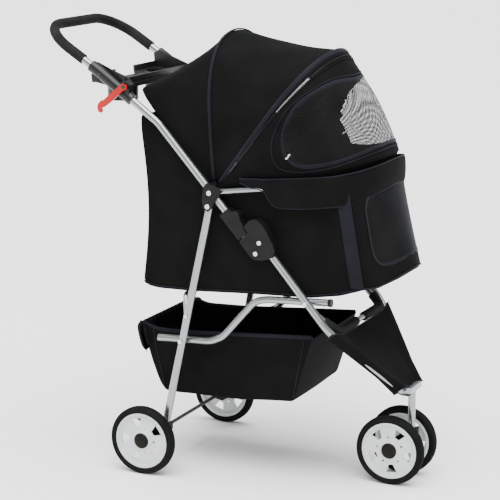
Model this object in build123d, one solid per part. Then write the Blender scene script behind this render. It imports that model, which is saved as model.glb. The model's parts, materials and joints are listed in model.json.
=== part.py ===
from build123d import *
from math import atan2, cos, degrees, hypot, pi, radians, sin, tan
import os

# Three-wheel pet stroller, in millimetres. +X is forward, +Y is the stroller's left, +Z is up.
# The origin is on the floor under the middle of the stroller's length. Places along the
# stroller are given as a distance ahead of the rear axle and a height above the floor.

os.makedirs("parts", exist_ok=True)

# ---- driving dimensions ----
REAR_AXLE_X = -156.75         # the rear axle's place in the row frame
WHEEL_R = 75.0                # 6 inch wheels
TYRE_W = 22.0
RIM_R = 61.0
AXLE_R = 4.0
REAR_TRACK_HALF = 200.0
FRONT_AXLE = 508.5            # ahead of the rear axle
FRONT_PAIR_HALF = 39.5
FRAME_HALF = 150.0            # side tubes' centre lines from the middle plane
TUBE_R = 8.0
TUBE_WALL = 1.2
RIVET_R = 3.0
RUN = 0.05                    # radial clearance of pivots and shafts
FABRIC = 2.5                  # thickness of the sewn panels with their stiffener
PLATE_OUT = (158.5, 162.5)    # outer cheeks of hubs and locks, from the middle plane
PLATE_IN = (137.0, 141.5)     # inner cheeks
CABIN_HALF = 136.0            # outside of the cabin's side panels
LINK_R = 7.5                  # brace links

# pivots, as (ahead, height)
FOLD_PIVOT = (251.5, 501.5)
HUB = (145.0, 621.0)
LEG_PIVOT = (141.0, 592.0)
LINK_FRONT = (361.0, 404.0)
LINK_REAR = (77.0, 295.0)
TUBE_BEND = (21.0, 760.0)
TUBE_KNEE = (-118.0, 861.0)
HANDLE_BAR = (-259.0, 951.0)
FRONT_TUBE_OFFSET = 22.0      # front tube's axis from the side tube's axis, at the lock
STEM_AHEAD = 541.0
FORK_TOP = 206.0
RIM_SLOPE = 7.5               # degrees
CROSSBAR = (421.0, 344.0)


def at(ahead, y, z):
    return Vector(REAR_AXLE_X + ahead, y, z)


def pins(place, y0, y1, radius):
    """A round bar across the stroller at (ahead, height), from y0 to y1."""
    return Solid.make_cylinder(radius, y1 - y0, Plane(at(place[0], y0, place[1]), z_dir=(0, 1, 0)))


def dome(place, y, outward, radius, height):
    """A rivet's round head on a face at y."""
    low, high = (y, y + height) if outward > 0 else (y - height, y)
    head = pins(place, low, high, radius)
    edge = head.edges().filter_by(GeomType.CIRCLE).sort_by(Axis.Y)[-1 if outward > 0 else 0]
    return head.fillet(height * 0.6, [edge])


def tube(points, bends, outer, inner=0.0):
    """A round tube along straight runs joined by arcs."""
    line = FilletPolyline(*points, radius=bends) if bends else Line(*points)
    ring = Circle(outer) - Circle(inner) if inner else Circle(outer)
    return sweep(Plane(origin=line @ 0, z_dir=line % 0) * ring, path=line).solid()


def plate(outline, y0, y1):
    """A flat plate upright along the stroller: an outline of (ahead, height) between y0 and y1."""
    points = [at(a, y0, z) for a, z in outline]
    return extrude(Face(Wire.make_polygon(points, close=True)), amount=y1 - y0, dir=(0, 1, 0)).solid()


def strip(stations):
    """A panel through four-cornered stations."""
    return Solid.make_loft([Wire.make_polygon(s, close=True) for s in stations], ruled=True)


def both(shape):
    return [shape, mirror(shape, about=Plane.XZ)]


def save(name, *shapes):
    solids = [s for shape in shapes for s in shape.solids()]
    whole = solids[0] if len(solids) == 1 else Compound(children=solids)
    export_step(whole, f"parts/{name}.step")


def save_pair(name, left):
    save(f"{name}_left", left)
    save(f"{name}_right", mirror(left, about=Plane.XZ))


# directions along the side tube near the lock: down it, and square to it on the outside
ANGLE = atan2(FOLD_PIVOT[1] - HUB[1], FOLD_PIVOT[0] - HUB[0])
DOWN = (cos(ANGLE), sin(ANGLE))
OUT = (-DOWN[1], DOWN[0])


def by_lock(along, off):
    """(ahead, height) of a point given from the fold pivot, along the side tube and off it."""
    return (FOLD_PIVOT[0] + along * DOWN[0] + off * OUT[0], FOLD_PIVOT[1] + along * DOWN[1] + off * OUT[1])


def on_rim(reach):
    """(ahead, height) in the rim's plane, at a distance ahead of the rear axle."""
    return (reach, HUB[1] + tan(radians(RIM_SLOPE)) * (reach - HUB[0]))


# ---- upper frame: side tubes and handle ----
side_end = by_lock(9, 0)
side = tube([at(side_end[0], FRAME_HALF, side_end[1]), at(TUBE_BEND[0], FRAME_HALF, TUBE_BEND[1]),
             at(TUBE_KNEE[0], FRAME_HALF, TUBE_KNEE[1])], [70], TUBE_R, TUBE_R - TUBE_WALL)
for place in (FOLD_PIVOT, HUB):
    side = side - pins(place, FRAME_HALF - 12, FRAME_HALF + 12, RIVET_R + RUN)
save_pair("side_tube", side)

run = hypot(HANDLE_BAR[0] - TUBE_KNEE[0], HANDLE_BAR[1] - TUBE_KNEE[1])
handle_way = ((HANDLE_BAR[0] - TUBE_KNEE[0]) / run, (HANDLE_BAR[1] - TUBE_KNEE[1]) / run)


def on_handle(reach):
    """(ahead, height) on the handle's leg, at a reach from the knee inside the tray's sleeve."""
    return (TUBE_KNEE[0] + reach * handle_way[0], TUBE_KNEE[1] + reach * handle_way[1])


def handle_loop(start):
    a, z = on_handle(start)
    return [at(a, FRAME_HALF, z), at(HANDLE_BAR[0], FRAME_HALF, HANDLE_BAR[1]),
            at(HANDLE_BAR[0], -FRAME_HALF, HANDLE_BAR[1]), at(a, -FRAME_HALF, z)]


HANDLE_CORNER = 80.0
GRIP_R = 11.0
save("handle_tube", tube(handle_loop(0.8), [HANDLE_CORNER] * 2, TUBE_R, TUBE_R - TUBE_WALL))
save("foam_grip", tube(handle_loop(45), [HANDLE_CORNER] * 2, GRIP_R, TUBE_R + RUN))

# ---- drink tray ----
SLEEVE_R = 12.5
TRAY_FLOOR = 838.0
CUP_R = 33.0
CUP_PLACE = (-99.0, 84.0)
CUP_BOTTOM = 796.0


def in_tray(ahead, reach, radius):
    """A round bar along the side tube's end and the handle's start, through the tray's sleeve."""
    slope = (TUBE_KNEE[1] - TUBE_BEND[1]) / (TUBE_BEND[0] - TUBE_KNEE[0])
    height = TUBE_KNEE[1] + (TUBE_KNEE[0] - ahead) * slope
    a, z = on_handle(reach)
    line = [at(ahead, FRAME_HALF, height), at(TUBE_KNEE[0], FRAME_HALF, TUBE_KNEE[1]), at(a, FRAME_HALF, z)]
    return tube(line, [200], radius)


sleeves = both(in_tray(-40, 22, SLEEVE_R))
deck = plate([(-140, TRAY_FLOOR), (-56, TRAY_FLOOR - 6), (-56, TRAY_FLOOR - 2), (-140, TRAY_FLOOR + 4)],
             -141, 141)
band = plate([(-66, TRAY_FLOOR - 12), (-60, TRAY_FLOOR - 12), (-59, TRAY_FLOOR + 11),
              (-64, TRAY_FLOOR + 11)], -146, 146)
back = plate([(-142, TRAY_FLOOR - 2), (-138, TRAY_FLOOR - 2), (-140, TRAY_FLOOR + 16),
              (-144, TRAY_FLOOR + 16)], -141, 141)
waist = Solid.make_box(60, 84, 60, Plane(at(-180, -42, TRAY_FLOOR - 20)))
arms = both(plate([(-140, 838), (-54, 822), (-44, 838), (-54, 850), (-96, 866), (-128, 880), (-143, 872)],
                  137.5, 141.5))
LUG = (-50.0, 834.0)
lugs = both(plate([(-66, 826), (-44, 808), (-40, 836), (-48, 846), (-60, 842)], 141.0, 161.0))
tray = deck + back - waist + band + arms + lugs + sleeves
for side_sign in (1, -1):
    centre = at(CUP_PLACE[0], side_sign * CUP_PLACE[1], CUP_BOTTOM)
    depth = TRAY_FLOOR + 1 - CUP_BOTTOM
    cup = Solid.make_cylinder(CUP_R, depth, Plane(centre))
    inside = Solid.make_cylinder(CUP_R - 2.5, depth + 20, Plane(centre + Vector(0, 0, 2.5)))
    tray = tray + cup - inside
tray = tray - both(in_tray(-20, 40, TUBE_R + 0.3))
tray = tray - pins(LUG, -170, -140, 2.5 + RUN)
save("drink_tray", tray)

screw_places = [(-112.0, 856.0), (-70.0, 826.0)]
screws = [dome(p, 162.7, 1, 3.5, 1.6) for p in screw_places]
hook_pivot = pins(LUG, -170.6, -146, 2.5) + dome(LUG, -170.6, -1, 4.5, 1.8)
save("tray_screws", *screws, *[mirror(s, about=Plane.XZ) for s in screws], hook_pivot)

# ---- storage hook: a lever with a bent tip, beside the tray on the right ----
hook = plate([(-43, 838), (-55, 840), (-67, 830), (-101, 802), (-104, 803), (-112, 795), (-114, 786),
              (-111, 778), (-105, 776), (-101, 780), (-104, 786), (-95, 790), (-76, 804), (-52, 825),
              (-43, 829)], -170, -165.5)
save("storage_hook", hook - pins(LUG, -172, -160, 2.5 + RUN))

# ---- hub brackets: a clevis over each side tube that holds the leg, rim and bows ----
hub_plate = [(132, 633), (139, 641), (158, 637), (171, 632), (169, 617), (156, 601), (152, 590), (142, 581),
             (131, 588), (128, 606)]
hub_web = [(141, 640.5), (157, 637), (152, 628.5)]
hub = plate(hub_plate, *PLATE_OUT) + plate(hub_plate, *PLATE_IN) + plate(hub_web, PLATE_IN[1], PLATE_OUT[0])
for place in (HUB, LEG_PIVOT):
    hub = hub - pins(place, 130, 170, RIVET_R + RUN)
save_pair("hub_bracket", hub)

hub_rivet = pins(HUB, 121, PLATE_OUT[1], RIVET_R)
hub_rivet = hub_rivet + dome(HUB, PLATE_OUT[1], 1, 5.5, 2) + dome(HUB, 121, -1, 5.5, 2)
leg_rivet = pins(LEG_PIVOT, PLATE_IN[0], PLATE_OUT[1], RIVET_R) + dome(LEG_PIVOT, PLATE_OUT[1], 1, 5.5, 2)
save("hub_rivets", *both(hub_rivet), *both(leg_rivet))

# ---- rim tube inside the front bumper ----
RIM_TUBE_R = 6.0
rim_plan = [(165, 149), (412, 149), (482, 78), (482, -78), (412, -149), (165, -149)]
rim_line = [at(a, y, on_rim(a)[1]) for a, y in rim_plan]
save("rim_tube", tube(rim_line, [62, 60, 60, 62], RIM_TUBE_R, RIM_TUBE_R - TUBE_WALL))

# ---- canopy: arches in planes through the hub, at an angle above forward ----
# Each arch is half a profile of (half width, height above the hub), from the hub to the crown.
ARCHES = {
    131.0: [(136, 26), (137, 200), (132, 260), (110, 275)],
    108.0: [(136, 26), (140, 170), (124, 238), (56, 279)],
    92.0: [(136, 26), (143, 190), (118, 270), (50, 324)],
    72.0: [(136, 26), (143, 205), (119, 274), (50, 322)],
    60.0: [(136, 26), (143, 225), (119, 294), (52, 342)],
    52.5: [(136, 26), (142, 235), (118, 312), (55, 363)],
    40.0: [(136, 26), (142, 232), (120, 308), (60, 352)],
    28.0: [(136, 26), (142, 235), (122, 308), (62, 344)],
    13.5: [(136, 26), (142, 235), (118, 313), (62, 344)],
}
REAR_BOW = 92.0
FRONT_BOW = 52.5


def moved_in(profile, distance):
    """The same half profile, moved in square to its runs."""
    ways = [atan2(q[1] - p[1], q[0] - p[0]) for p, q in zip(profile, profile[1:])] + [pi]
    shifted = []
    for n, (y, h) in enumerate(profile):
        before, after = (ways[n - 1] if n else ways[0]), ways[n]
        middle, half = (before + after) / 2, (after - before) / 2
        shifted.append((y - distance * sin(middle) / cos(half), h + distance * cos(middle) / cos(half)))
    return shifted


def arch_points(angle, profile):
    """The whole arch, from the left hub over the crown to the right hub."""
    whole = profile + [(-y, h) for y, h in reversed(profile)]
    along = (cos(radians(angle)), sin(radians(angle)))
    return [at(HUB[0] + h * along[0], y, HUB[1] + h * along[1]) for y, h in whole]


def arch_panels(angles):
    outer = [arch_points(t, ARCHES[t]) for t in angles]
    inner = [arch_points(t, moved_in(ARCHES[t], FABRIC)) for t in angles]
    return [strip([[o[k], o[k + 1], i[k + 1], i[k]] for o, i in zip(outer, inner)])
            for k in range(len(outer[0]) - 1)]


save("canopy_rear", *arch_panels([131.0, 108.0, 92.0]))
save("canopy_crown", *arch_panels([92.0, 72.0, 60.0, 52.5]))
save("front_screen", *arch_panels([52.5, 40.0, 28.0, 13.5]))

BOW_R = 2.5
BOW_INSET = 8.0


def bow(angle, eye_y, bends):
    """A wire bow inside its arch, with a flat eye round each hub rivet."""
    wire = tube(arch_points(angle, [(eye_y, 6)] + moved_in(ARCHES[angle], BOW_INSET)[1:]), bends, BOW_R)
    eyes = both(pins(HUB, eye_y - 2.5, eye_y + 2.5, 7.5))
    bored = [pins(HUB, -140, 140, RIVET_R + RUN)]
    return (wire + eyes) - bored


save("rear_bow", bow(REAR_BOW, 130.0, [60, 70, 55, 55, 70, 60]))
save("front_bow", bow(FRONT_BOW, 124.4, [60, 70, 55, 55, 70, 60]))

# ---- cabin: sewn panels with stiffeners ----
CABIN_IN = CABIN_HALF - FABRIC
bottom_edge = [(-28, 412), (-10, 404), (14, 402), (86, 403), (227, 411), (364, 416), (430, 427), (478, 442)]
rear_edge = [(-27, 802), (-14, 762), (-8, 697), (-13, 589), (-24, 479), (-30, 412)]
side_outline = rear_edge[::-1][1:-1] + [(-25, 800), (143.5, 620)] + [(166, 616), (441, 652), (477, 445)]
side_outline = side_outline + bottom_edge[::-1][1:]
cabin_side = plate(side_outline, CABIN_IN, CABIN_HALF) - pins(HUB, 130, 140, RIVET_R + 0.5)
save("cabin_sides", *both(cabin_side))
rear_skin = rear_edge + [(a + FABRIC, z) for a, z in reversed(rear_edge)]
save("cabin_rear", plate(rear_skin, -CABIN_IN + 0.1, CABIN_IN - 0.1))

FLOOR = 4.0
floor_edge = bottom_edge[1:-1] + [(474, 441)]
floor_outline = floor_edge + [(a, z + FLOOR) for a, z in reversed(floor_edge)]
floor_tip = [(131, 476, 441.5), (115, 500, 447), (61, 526, 457), (0, 540, 467)]
nose = [[at(474.1, y, 441), at(a, y, z), at(a, y, z + FLOOR), at(474.1, y, 441 + FLOOR)]
        for y, a, z in floor_tip + [(-y, a, z) for y, a, z in floor_tip[-2::-1]]]
save("cabin_floor", plate(floor_outline, -CABIN_IN + 0.1, CABIN_IN - 0.1), strip(nose))

# the front wall, as (half width, ahead, height) at its bottom and top, and the way inward
front_wall = [
    ((136, 480, 443), (136, 444, 652), (-1.2, -2.2)),
    ((119, 507, 448), (116, 464, 654), (-1.9, -1.7)),
    ((63, 533, 461), (62, 482, 656), (-2.4, -0.7)),
    ((0, 547, 471), (0, 489, 657), (-2.5, 0.0)),
]
stations = []
for low, high, (in_a, in_y) in front_wall:
    stations.append([at(low[1], low[0], low[2]), at(high[1], high[0], high[2]),
                     at(high[1] + in_a, high[0] + in_y, high[2]), at(low[1] + in_a, low[0] + in_y, low[2])])
stations = stations + [[Vector(p.X, -p.Y, p.Z) for p in s] for s in stations[-2::-1]]
save("cabin_front", *[strip(pair) for pair in zip(stations, stations[1:])])

# ---- bumper: a padded band round the rim, as (half width, ahead, low, high, inward) ----
bumper_line = [
    (158.5, 213, 647, 653, (0, -1)), (158.5, 266, 634, 656, (0, -1)), (158.5, 302, 600, 659, (0, -1)),
    (158.5, 412, 610, 671, (-0.45, -1)), (133, 468, 618, 682, (-0.8, -0.6)), (66, 493, 635, 691, (-1, -0.25)),
    (0, 500, 641, 694, (-1, 0)),
]
rings = []
for y, a, low, high, (in_a, in_y) in bumper_line:
    rings.append([at(a, y, low), at(a, y, high), at(a + in_a * FABRIC, y + in_y * FABRIC, high),
                  at(a + in_a * FABRIC, y + in_y * FABRIC, low)])
rings = rings + [[Vector(p.X, -p.Y, p.Z) for p in r] for r in rings[-2::-1]]
save("bumper_band", *[strip(pair) for pair in zip(rings, rings[1:])])

# ---- front frame: tubes that bend in towards the caster ----
front_top = by_lock(-31, FRONT_TUBE_OFFSET)
FRONT_BEND = (412.0, 347.0)
front_line = [at(front_top[0], FRAME_HALF, front_top[1]), at(FRONT_BEND[0], FRAME_HALF, FRONT_BEND[1]),
              at(531, 36, FORK_TOP)]
front = tube(front_line, [90], TUBE_R, TUBE_R - TUBE_WALL)
LOCK_RIVET = by_lock(-12, FRONT_TUBE_OFFSET)
for place in (LOCK_RIVET, LINK_FRONT):
    front = front - pins(place, FRAME_HALF - 12, FRAME_HALF + 12, RIVET_R + RUN)
BRACKET_HALF = 31.0
front = front - Solid.make_box(80, 2 * BRACKET_HALF + 0.2, 80, Plane(at(500, -BRACKET_HALF - 0.1, 170)))
front = front.solids().sort_by(SortBy.VOLUME)[-1]
save_pair("front_tube", front)

# ---- fold locks ----
housing_top = [(-61, 34), (-57, 45), (-48, 51), (-30, 52), (-11, 49), (8, 45), (23, 38), (29, 28), (27, 17)]
housing_plate = [(-59, 18), *housing_top, (20, 3), (9, -10), (-5, -14), (-30, -13.5), (-41, -13), (-44, 8),
                 (-44, 15), (-59, 15)]
housing_web = [(-59, 15), *housing_top, (24, 13), (-44, 13), (-44, 15)]
outline = [by_lock(u, n) for u, n in housing_plate]
web = [by_lock(u, n) for u, n in housing_web]
housing = plate(outline, *PLATE_OUT) + plate(outline, *PLATE_IN) + plate(web, PLATE_IN[1], PLATE_OUT[0])
housing = housing - tube(front_line, [90], TUBE_R + RUN)
for place in (FOLD_PIVOT, LOCK_RIVET):
    housing = housing - pins(place, 130, 170, RIVET_R + RUN)
save_pair("lock_housing", housing)

slider_outline = [(-110, -12.5), (-44.6, -12.5), (-44.6, 12.8), (-59.4, 12.8), (-62, 17), (-74, 19),
                  (-86, 25), (-94, 24), (-100, 15), (-110, 13)]
slider_block = plate([by_lock(u, n) for u, n in slider_outline], FRAME_HALF - 12.5, PLATE_OUT[1])
slider_line = [at(*[by_lock(-140, 0)[0], FRAME_HALF, by_lock(-140, 0)[1]]),
               at(*[by_lock(-20, 0)[0], FRAME_HALF, by_lock(-20, 0)[1]])]
slider = slider_block - tube(slider_line, None, TUBE_R + RUN)
save_pair("lock_slider", slider)

# ---- rivets and pivot pins carried by the front frame ----
fold_pin = pins(FOLD_PIVOT, PLATE_IN[0], PLATE_OUT[1], RIVET_R) + dome(FOLD_PIVOT, PLATE_OUT[1], 1, 5, 2)
lock_pin = pins(LOCK_RIVET, PLATE_IN[0], PLATE_OUT[1], RIVET_R) + dome(LOCK_RIVET, PLATE_OUT[1], 1, 5, 2)
LINK_FRONT_Y = 133.0
link_pin = pins(LINK_FRONT, LINK_FRONT_Y - 9, 158.1, RIVET_R) + dome(LINK_FRONT, 158.1, 1, 5, 2)
save("front_frame_rivets", *both(fold_pin), *both(lock_pin), *both(link_pin))

# ---- crossbar between the front tubes ----
CROSSBAR_R = 6.0
crossbar_line = [at(384, 133.5, 374), at(CROSSBAR[0], 122, CROSSBAR[1]), at(CROSSBAR[0], -122, CROSSBAR[1]),
                 at(384, -133.5, 374)]
save("crossbar_tube", tube(crossbar_line, [20, 20], CROSSBAR_R, CROSSBAR_R - TUBE_WALL))
sleeve = pins(CROSSBAR, 3.5, 99, 11) - pins(CROSSBAR, 0, 110, CROSSBAR_R + RUN)
ring = pins(CROSSBAR, -3.3, 3.3, 12.5) - pins(CROSSBAR, -5, 5, CROSSBAR_R + RUN)
knob = Solid.make_cylinder(4, 5, Plane(at(CROSSBAR[0], 0, CROSSBAR[1] + 11.5)))
save("crossbar_sleeves", *both(sleeve), ring + knob)

# ---- caster bracket, stem, fork and front axle ----
bracket = Solid.make_box(36, 2 * BRACKET_HALF, 21, Plane(at(515, -BRACKET_HALF, 192)))
bracket = bracket.chamfer(9, None, bracket.edges().group_by(Axis.Z)[0])
STEM_R = 8.0
socket = Solid.make_cylinder(STEM_R + RUN, 24, Plane(at(STEM_AHEAD, 0, 180)))
save("caster_bracket", bracket - socket)
STEM_FOOT = 98.0
save("caster_stem", Solid.make_cylinder(STEM_R, 203 - STEM_FOOT, Plane(at(STEM_AHEAD, 0, STEM_FOOT))))

arm_outline = [(-14, 68), (-12, 84), (12, 104), (21, 117), (45, 117), (45, 100), (20, 66), (0, 58)]
arm = plate([(FRONT_AXLE + a, z) for a, z in arm_outline], -12, 12) + pins((FRONT_AXLE, 75), -27, 27, 13)
arm = arm - pins((FRONT_AXLE, 75), -60, 60, AXLE_R + RUN)
stem_hole = Solid.make_cylinder(STEM_R + RUN, 40, Plane(at(STEM_AHEAD, 0, STEM_FOOT - 0.1)))
save("caster_fork", arm - stem_hole)
save("front_axle", pins((FRONT_AXLE, WHEEL_R), -FRONT_PAIR_HALF - 8, FRONT_PAIR_HALF + 8, AXLE_R))

# ---- wheels ----
SPOKES = 5


def turned(profile):
    """A ring turned about the Y axis from a (radius, y) outline."""
    face = Face(Wire.make_polygon([(r, y, 0) for r, y in profile], close=True))
    return revolve(face, Axis.Y).solid()


def make_wheel():
    half = TYRE_W / 2
    tyre = turned([(RIM_R + RUN, -9), (RIM_R + RUN, 9), (64, half), (71, half - 0.5), (74, half - 3),
                   (WHEEL_R, 4.5), (73.6, 4), (73.6, 3), (WHEEL_R, 2.5), (WHEEL_R, -2.5), (73.6, -3),
                   (73.6, -4), (WHEEL_R, -4.5),
                   (74, 3 - half), (71, 0.5 - half), (64, -half)])
    rim = turned([(AXLE_R + RUN, -12), (17, -12), (17, 2.8), (52, 1.2), (55.5, -9), (RIM_R, -9), (RIM_R, 9),
                  (57.5, 9.6), (56, 6), (53, 4.2), (22, 5.8), (18.5, 8.4), (AXLE_R + RUN, 8.4)])
    for n in range(SPOKES):
        turn = Rotation(0, 360 / SPOKES * n, 0)
        window = Face(Wire.make_polygon([(-5, -20, 31), (5, -20, 31), (12, -20, 48.5), (-12, -20, 48.5)],
                                        close=True))
        rim = rim - turn * extrude(window, amount=40, dir=(0, 1, 0))
        hole_place = (28.5 * sin(pi / SPOKES), -20, 28.5 * cos(pi / SPOKES))
        hole = Solid.make_cylinder(2.6, 40, Plane(hole_place, z_dir=(0, 1, 0)))
        rim = rim - turn * hole
    cap = turned([(0, 8.6), (17, 8.6), (17, 9.8), (14.5, 11.8), (10, 13.2), (5, 14), (0, 14.2)])
    return tyre, rim, cap


tyre, rim, cap = make_wheel()
wheel_sets = (("front", FRONT_AXLE, FRONT_PAIR_HALF, 30), ("rear", 0.0, REAR_TRACK_HALF, -17))
for end, ahead, half, spin in wheel_sets:
    for name, sign in (("left", 1), ("right", -1)):
        for part, label in ((tyre, "tyre"), (rim, "rim"), (cap, "cap")):
            side_part = part if sign > 0 else mirror(part, about=Plane.XZ)
            place = Pos(at(ahead, sign * half, WHEEL_R)) * Rotation(0, spin, 0)
            save(f"{end}_{label}_{name}", place * side_part)

# ---- rear legs ----
LEG_FOOT = (38.7, 173.0, 96.0)
leg_top = Vector(at(LEG_PIVOT[0], FRAME_HALF, LEG_PIVOT[1]))
leg_foot = at(*LEG_FOOT)
leg_way = (leg_foot - leg_top).normalized()
leg_start = leg_top - leg_way * 9
leg_plane = Plane(origin=leg_start, z_dir=leg_way, x_dir=(1, 0, 0))
leg_section = leg_plane * (SlotOverall(17, 11) - SlotOverall(14.6, 8.6))
leg = extrude(leg_section, amount=(leg_foot - leg_start).length).solid()
leg = leg - pins(LEG_PIVOT, 130, 170, RIVET_R + RUN)
save_pair("rear_leg", leg)


def leg_y(z):
    """The leg's distance from the middle plane at a height."""
    return FRAME_HALF + (LEG_FOOT[1] - FRAME_HALF) * (LEG_PIVOT[1] - z) / (LEG_PIVOT[1] - LEG_FOOT[2])


LEG_CROSS = (84.0, 352.0)
cross_end = leg_y(LEG_CROSS[1]) - 11.4
cross_line = [at(LEG_CROSS[0], cross_end, LEG_CROSS[1]), at(70, 128, 390), at(70, -128, 390),
              at(LEG_CROSS[0], -cross_end, LEG_CROSS[1])]
save("leg_cross_tube", tube(cross_line, [18, 18], 6, 6 - TUBE_WALL))
leg_heads = [dome((LEG_CROSS[0] + 6, 352), leg_y(352) + 6.3, 1, 4.5, 2),
             dome(LINK_REAR, leg_y(295) + 6.3, 1, 5, 2)]
save("leg_rivets", *both(leg_heads[0]), *both(leg_heads[1]))

# ---- rear axle and its housings ----
save("rear_axle", pins((0, WHEEL_R), -REAR_TRACK_HALF - 8, REAR_TRACK_HALF + 8, AXLE_R))
housing_outline = [(-10, 66), (-12, 80), (-4, 90), (14, 105), (26, 116), (54, 113), (54, 98), (42, 80),
                   (12, 62)]
foot_hole = extrude(Plane(origin=leg_start, z_dir=leg_way, x_dir=(1, 0, 0)) * SlotOverall(17.2, 11.2),
                    amount=(leg_foot - leg_start).length + 0.1).solid()
axle_housing = plate(housing_outline, 163, 186) - foot_hole - pins((0, WHEEL_R), 150, 200, AXLE_R + RUN)
BRAKE_PIVOT = (12.0, 98.0)
brake_pin = pins(BRAKE_PIVOT, 148, 170, RIVET_R)
save("axle_housings", *both(axle_housing + brake_pin))

pedal_outline = [(4, 92), (12, 90), (20, 98), (14, 106), (2, 107), (-22, 113), (-36, 119), (-39, 112),
                 (-24, 105), (-4, 98)]
pedal = plate(pedal_outline, 149, 162.5) + plate([(-22, 113), (-36, 119), (-39, 112), (-24, 105)], 141, 170)
save_pair("brake_pedal", pedal - pins(BRAKE_PIVOT, 140, 172, RIVET_R + RUN))

# ---- brace links ----
link_line = [at(14, 148, 293), at(LINK_REAR[0] + 60, 145, 297), at(165, 141, 309), at(240, 136.5, 395),
             at(268, 134.5, 400), at(404, LINK_FRONT_Y - 1, 406)]
link = tube(link_line, [60, 45, 45, 40], LINK_R, LINK_R - TUBE_WALL)
link = link - pins(LINK_FRONT, 120, 160, RIVET_R + RUN)
save_pair("brace_link", link)
link_end = link_line[-1]
link_way = (link_line[-1] - link_line[-2]).normalized()
link_cap = Solid.make_cylinder(LINK_R + 0.8, 7, Plane(link_end + link_way * 0.1, z_dir=link_way))
save("link_caps", *both(link_cap))
WIRE_R = 2.5
wire_line = [at(13, 148, 293), at(-46, 142, 299), at(-46, -142, 299), at(13, -148, 293)]
save("basket_wire", tube(wire_line, [25, 25], WIRE_R))

# ---- basket: a sewn tub hung below the links ----
BASKET_HALF = 122.0
side_of_basket = [(-38, 290), (-18, 258), (-11, 223), (3, 173), (23, 165), (94, 165), (187, 168), (251, 172),
                  (316, 180), (341, 266), (362, 322)]
basket_side = plate(side_of_basket, BASKET_HALF - FABRIC, BASKET_HALF)
rear_of_basket = [(-39, 290), (-19, 258), (-12, 223), (1.5, 173)]
bottom_of_basket = [(1.5, 170.4), (23, 162.4), (94, 162.4), (187, 165.4), (251, 169.4), (319, 177.8)]
front_of_basket = [(319, 180.5), (344.2, 266), (365, 322)]


def thick(line, ahead, up):
    return line + [(a + ahead, z + up) for a, z in reversed(line)]


inner_half = BASKET_HALF - FABRIC - 0.1
save("basket", *both(basket_side), plate(thick(rear_of_basket, FABRIC, 0), -inner_half, inner_half),
     plate(thick(bottom_of_basket, 0, FABRIC), -BASKET_HALF, BASKET_HALF),
     plate(thick(front_of_basket, -FABRIC, 0), -inner_half, inner_half))

# ---- bib: the cloth over the converging front tubes ----
BIB_OFF = 10.0
bib_way = (FORK_TOP - FRONT_BEND[1], 531 - FRONT_BEND[0])
off = hypot(*bib_way)
lift = (-bib_way[0] / off * BIB_OFF, bib_way[1] / off * BIB_OFF)
bib_top, bib_hem = (427 + lift[0], 336 + lift[1]), (535 + lift[0], 209.5 + lift[1])
skin = (lift[0] / BIB_OFF * FABRIC, lift[1] / BIB_OFF * FABRIC)
bib_rows = [(bib_top, 158), (bib_hem, 54)]
bib = strip([[at(p[0], w, p[1]), at(p[0], -w, p[1]), at(p[0] + skin[0], -w, p[1] + skin[1]),
              at(p[0] + skin[0], w, p[1] + skin[1])] for p, w in bib_rows])
save("bib_panel", bib)
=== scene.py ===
import bpy
import json
from math import cos, pi, radians, sin, sqrt, tau
from mathutils import Matrix, Vector, noise


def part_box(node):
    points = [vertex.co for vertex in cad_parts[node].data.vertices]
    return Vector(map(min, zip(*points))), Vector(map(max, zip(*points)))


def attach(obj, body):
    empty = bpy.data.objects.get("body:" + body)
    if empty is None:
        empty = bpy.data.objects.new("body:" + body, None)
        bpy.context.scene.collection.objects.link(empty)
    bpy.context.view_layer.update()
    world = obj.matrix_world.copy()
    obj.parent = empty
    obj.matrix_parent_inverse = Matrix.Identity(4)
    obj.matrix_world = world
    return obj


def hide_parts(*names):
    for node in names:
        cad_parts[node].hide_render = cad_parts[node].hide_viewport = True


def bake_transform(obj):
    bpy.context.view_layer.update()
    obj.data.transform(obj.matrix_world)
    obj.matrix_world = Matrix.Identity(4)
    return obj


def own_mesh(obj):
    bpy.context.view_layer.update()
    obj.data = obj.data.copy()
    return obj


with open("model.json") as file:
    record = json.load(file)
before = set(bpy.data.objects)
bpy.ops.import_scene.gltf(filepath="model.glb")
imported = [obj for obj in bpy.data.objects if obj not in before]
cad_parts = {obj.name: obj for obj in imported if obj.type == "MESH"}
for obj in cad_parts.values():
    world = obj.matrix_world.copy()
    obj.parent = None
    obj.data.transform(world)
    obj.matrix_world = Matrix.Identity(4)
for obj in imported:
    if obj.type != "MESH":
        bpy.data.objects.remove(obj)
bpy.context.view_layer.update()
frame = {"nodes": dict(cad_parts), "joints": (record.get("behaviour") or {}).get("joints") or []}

MM = 0.001
JOINTS = {j["name"]: j for j in frame["joints"]}


def middle(node):
    low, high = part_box(node)
    return (Vector(low) + Vector(high)) / 2


# Distances along the stroller are given ahead of the rear axle, in millimetres, as in the CAD.
AXLE_X = middle("rear_axle").x


def at(ahead, y, z):
    return Vector((AXLE_X + ahead * MM, y * MM, z * MM))


def ahead_of(x):
    return (x - AXLE_X) / MM


HUB = (ahead_of(JOINTS["canopy_fold"]["pos_m"][0]), JOINTS["canopy_fold"]["pos_m"][2] / MM)
FOLD = (ahead_of(JOINTS["frame_fold"]["pos_m"][0]), JOINTS["frame_fold"]["pos_m"][2] / MM)


# ------------------------------------------------------------------ mesh helpers
def mesh_object(name, points, faces, smooth=True):
    mesh = bpy.data.meshes.new(name)
    mesh.from_pydata([tuple(p) for p in points], [], faces)
    mesh.validate()
    mesh.update()
    if smooth:
        mesh.shade_smooth()
    obj = bpy.data.objects.new(name, mesh)
    bpy.context.scene.collection.objects.link(obj)
    return obj


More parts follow.
